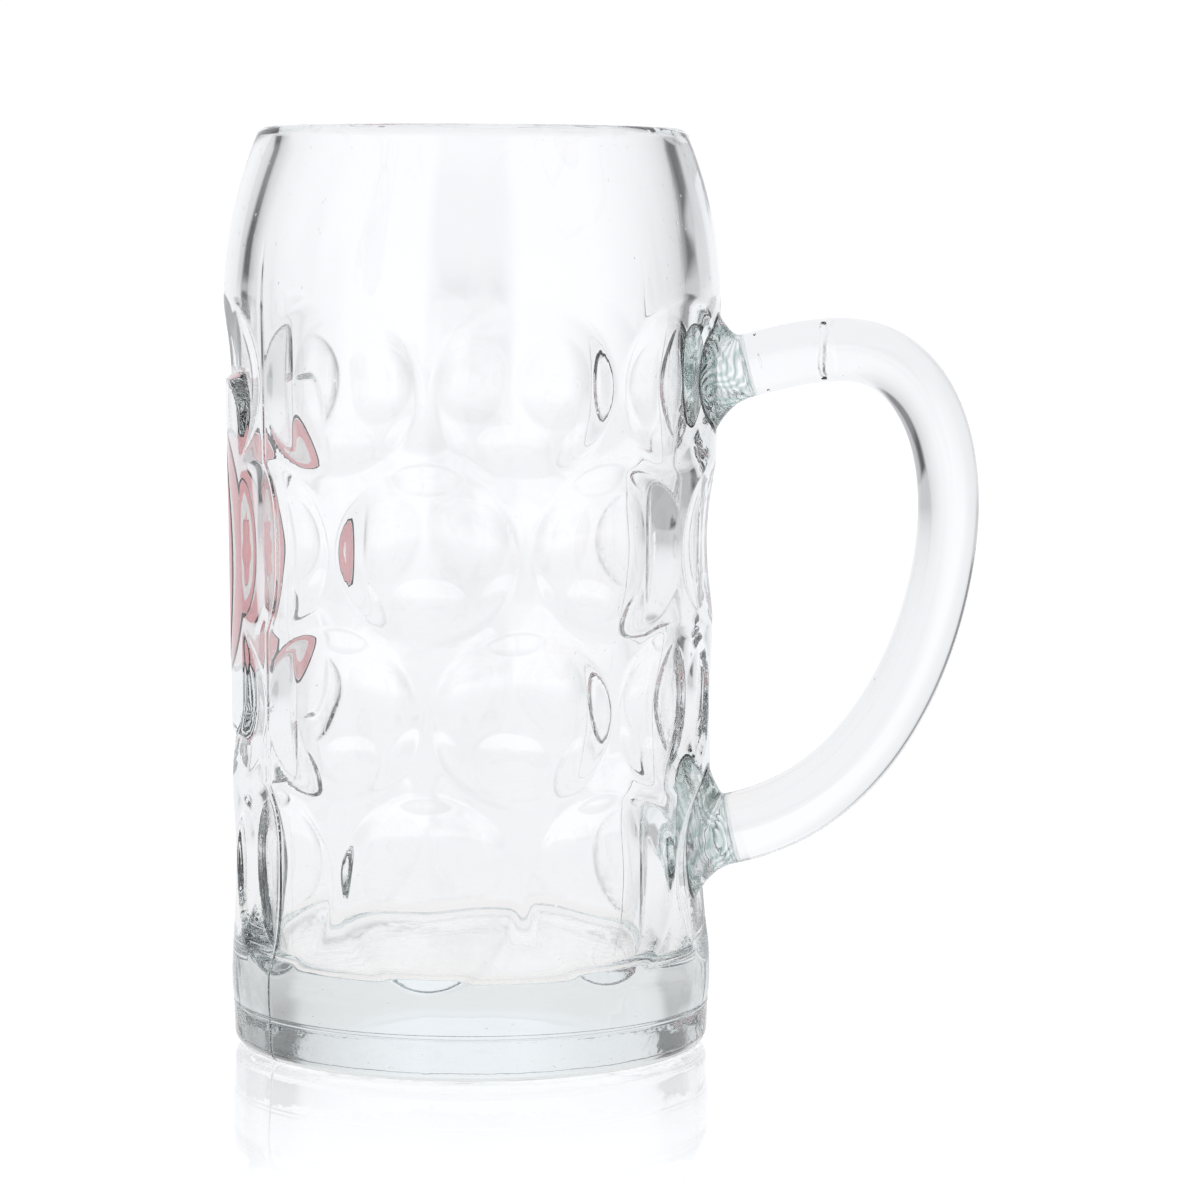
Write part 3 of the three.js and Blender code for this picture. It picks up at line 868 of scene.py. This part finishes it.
def studio_tones():
    """Node group for the light from a way round the mug: a wide white backdrop that falls off to dark
    cards at both sides, paler walls beyond them, bright light behind the camera with a gap in it.
    Close to the horizon nothing is darker than the table's far end, and the cards pale upwards."""
    group = bpy.data.node_groups.new("studio_tones", "ShaderNodeTree")
    group.interface.new_socket("Way", in_out="INPUT", socket_type="NodeSocketVector")
    group.interface.new_socket("Color", in_out="OUTPUT", socket_type="NodeSocketColor")
    nodes, links = group.nodes, group.links
    turn = nodes.new("ShaderNodeVectorRotate")
    turn.rotation_type = "Z_AXIS"
    turn.inputs["Angle"].default_value = -CAMERA_AZIMUTH
    links.new(nodes.new("NodeGroupInput").outputs["Way"], turn.inputs["Vector"])
    axes = link_axes(group, turn.outputs["Vector"])
    azimuth = link_math(group, "ARCTAN2", axes["X"], axes["Y"])
    share = link_range(group, azimuth, (-math.pi, math.pi), 0, 1, False)
    ramp = nodes.new("ShaderNodeValToRGB")
    elements = ramp.color_ramp.elements
    while len(elements) < len(STUDIO_TONES):
        elements.new(0.5)
    for element, (degrees, tone) in zip(elements, STUDIO_TONES):
        element.position = degrees / 360 + 0.5
        element.color = (tone, tone, tone, 1)
    links.new(share, ramp.inputs["Fac"])
    low = link_range(group, axes["Z"], (0, HORIZON_END), HORIZON_LIGHT, 0)
    high = link_range(group, axes["Z"], CARD_PALING_FADE, 0, CARD_PALING)
    lowest = link_math(group, "MAXIMUM", low, high)
    light = link_math(group, "MAXIMUM", ramp.outputs["Color"], lowest)
    tinted = link_scaled(group, light, STUDIO_TINT)
    links.new(tinted, nodes.new("NodeGroupOutput").inputs["Color"])
    return group


def add_tones(tree, group, way):
    """The studio's tones in a node tree, for a socket that gives the way."""
    node = tree.nodes.new("ShaderNodeGroup")
    node.node_tree = group
    tree.links.new(way, node.inputs["Way"])
    return node.outputs["Color"]


def studio_world(group):
    """White studio: what the camera sees directly is white, and the mug gets the studio's tones under
    a bright ceiling."""
    world = bpy.data.worlds.new("studio")
    bpy.context.scene.world = world
    world.use_nodes = True
    tree = world.node_tree
    way = tree.nodes.new("ShaderNodeTexCoord").outputs["Generated"]
    ceiling = link_range(tree, link_axes(tree, way)["Z"], CEILING_FADE, 0, 1)
    light = link_mix(tree, ceiling, add_tones(tree, group, way), CEILING_LIGHT)
    camera_ray = tree.nodes.new("ShaderNodeLightPath").outputs["Is Camera Ray"]
    seen = link_mix(tree, camera_ray, light, BACKDROP_SEEN)
    tree.links.new(seen, tree.nodes["Background"].inputs["Color"])


def table_top(group):
    """Glossy white table that mirrors the mug's base. Its glow is a dimmer, warmer white under the
    mug, painted shade that rays from the camera never see, and goes over into the studio's tones far
    out, so no horizon shows."""
    mesh = bpy.data.meshes.new("table_top")
    corners = ((-1, -1), (1, -1), (1, 1), (-1, 1))
    mesh.from_pydata([(x * TABLE_HALF_SIZE, y * TABLE_HALF_SIZE, -TABLE_DROP) for x, y in corners],
                     [], [(0, 1, 2, 3)])
    table = bpy.data.objects.new("table_top", mesh)
    bpy.context.scene.collection.objects.link(table)
    material, tree, shader, place = new_material("white_table")
    nodes, links = tree.nodes, tree.links
    nodes.remove(shader)
    distance = link_length(tree, place)
    far = link_range(tree, distance, TABLE_FAR_FADE, 0, 1)
    around = link_mix(tree, far, TABLE_LIGHT, add_tones(tree, group, place))
    # Painted shade: the table's glow is dimmer and warmer under the mug
    off_painted_shade = link_range(tree, distance, UNDER_MUG_SHADE_FADE, 0, 1)
    light = link_mix(tree, off_painted_shade, UNDER_MUG_SHADE_LIGHT, around, UNDER_MUG_SHADE_TINT)
    camera_ray = nodes.new("ShaderNodeLightPath").outputs["Is Camera Ray"]
    glow = nodes.new("ShaderNodeEmission")
    links.new(link_mix(tree, camera_ray, light, TABLE_SEEN), glow.inputs["Color"])
    gloss = nodes.new("ShaderNodeBsdfGlossy")
    gloss.inputs["Color"].default_value = WHITE
    gloss.inputs["Roughness"].default_value = TABLE_ROUGHNESS
    fresnel = nodes.new("ShaderNodeFresnel")
    fresnel.inputs["IOR"].default_value = TABLE_IOR
    fade = link_range(tree, distance, GLOSS_FADE, 1, 0)
    mix = nodes.new("ShaderNodeMixShader")
    links.new(link_math(tree, "MULTIPLY", fresnel.outputs["Fac"], fade), mix.inputs["Fac"])
    links.new(glow.outputs["Emission"], mix.inputs[1])
    links.new(gloss.outputs["BSDF"], mix.inputs[2])
    links.new(mix.outputs["Shader"], nodes["Material Output"].inputs["Surface"])
    mesh.materials.append(material)


def add_camera():
    """Camera at the photograph's place, turned from the mug's axis by its yaw, pitch and roll."""
    data = bpy.data.cameras.new("camera")
    camera = bpy.data.objects.new("camera", data)
    bpy.context.scene.collection.objects.link(camera)
    data.sensor_width = SENSOR_WIDTH
    data.lens = FOCAL_PIXELS / IMAGE_PIXELS * SENSOR_WIDTH
    data.clip_start = CAMERA_NEAR
    stand = (CAMERA_DISTANCE * math.sin(CAMERA_AZIMUTH),
             -CAMERA_DISTANCE * math.cos(CAMERA_AZIMUTH),
             CAMERA_HEIGHT)
    heading = Matrix.Rotation(CAMERA_AZIMUTH - CAMERA_YAW, 4, "Z")
    level = heading @ Matrix.Rotation(math.pi / 2, 4, "X")
    tilt = Matrix.Rotation(CAMERA_PITCH, 4, "X") @ Matrix.Rotation(CAMERA_ROLL, 4, "Z")
    camera.matrix_world = Matrix.Translation(Vector(stand)) @ level @ tilt
    bpy.context.scene.camera = camera


# The mug

clear_glass = glass_material()
handle_glass = handle_material()
weld_glass = weld_material()
black_enamel = enamel_material("black_enamel", ENAMEL_BLACK)
red_enamel = enamel_material("red_enamel", ENAMEL_RED)
grey_enamel = enamel_material("grey_enamel", ENAMEL_GREY)

add_piece("mug_body_glass", vessel_mesh(), clear_glass, "mug_body")
add_piece("handle_glass", handle_mesh(), handle_glass, "handle")
add_piece("upper_weld_glass",
          weld_mesh("upper_weld_glass", upper_joint, upper_way, ROD_THICKNESS_TOP,
                    UPPER_WELD_FOOT_HEIGHT, UPPER_WELD_FOOT_WIDTH),
          weld_glass, "upper_handle_weld")
add_piece("lower_weld_glass",
          weld_mesh("lower_weld_glass", lower_joint, lower_way, ROD_THICKNESS_BOTTOM,
                    LOWER_WELD_FOOT_HEIGHT, LOWER_WELD_FOOT_WIDTH),
          weld_glass, "lower_handle_weld")

badge_turn = np.linspace(FULL_TURN, 0, BADGE_COLUMNS, endpoint=False)
band_edge = KEYLINE_WIDTH + LAYER_GAP
field_edge = band_edge + BAND_WIDTH + LAYER_GAP
add_piece("badge_keyline",
          enamel_mesh("badge_keyline", badge_oval(KEYLINE_WIDTH), badge_oval(0), KEYLINE_ROWS),
          black_enamel, "enamel_keyline")
add_piece("badge_band",
          enamel_mesh("badge_band", badge_oval(band_edge + BAND_WIDTH), badge_oval(band_edge),
                      BAND_ROWS),
          red_enamel, "enamel_band")
add_piece("badge_field",
          enamel_mesh("badge_field", badge_rosette(LAYER_GAP), badge_oval(field_edge), FIELD_ROWS),
          grey_enamel, "enamel_field")
add_piece("badge_rosette",
          enamel_disc_mesh("badge_rosette", badge_rosette(0), ROSETTE_ROWS),
          red_enamel, "enamel_rosette")

tones = studio_tones()
studio_world(tones)
table_top(tones)
add_camera()
scene = bpy.context.scene
scene.view_settings.view_transform = "Standard"
scene.cycles.max_bounces = GLASS_BOUNCES
scene.cycles.transmission_bounces = GLASS_BOUNCES
scene.cycles.glossy_bounces = GLOSS_BOUNCES
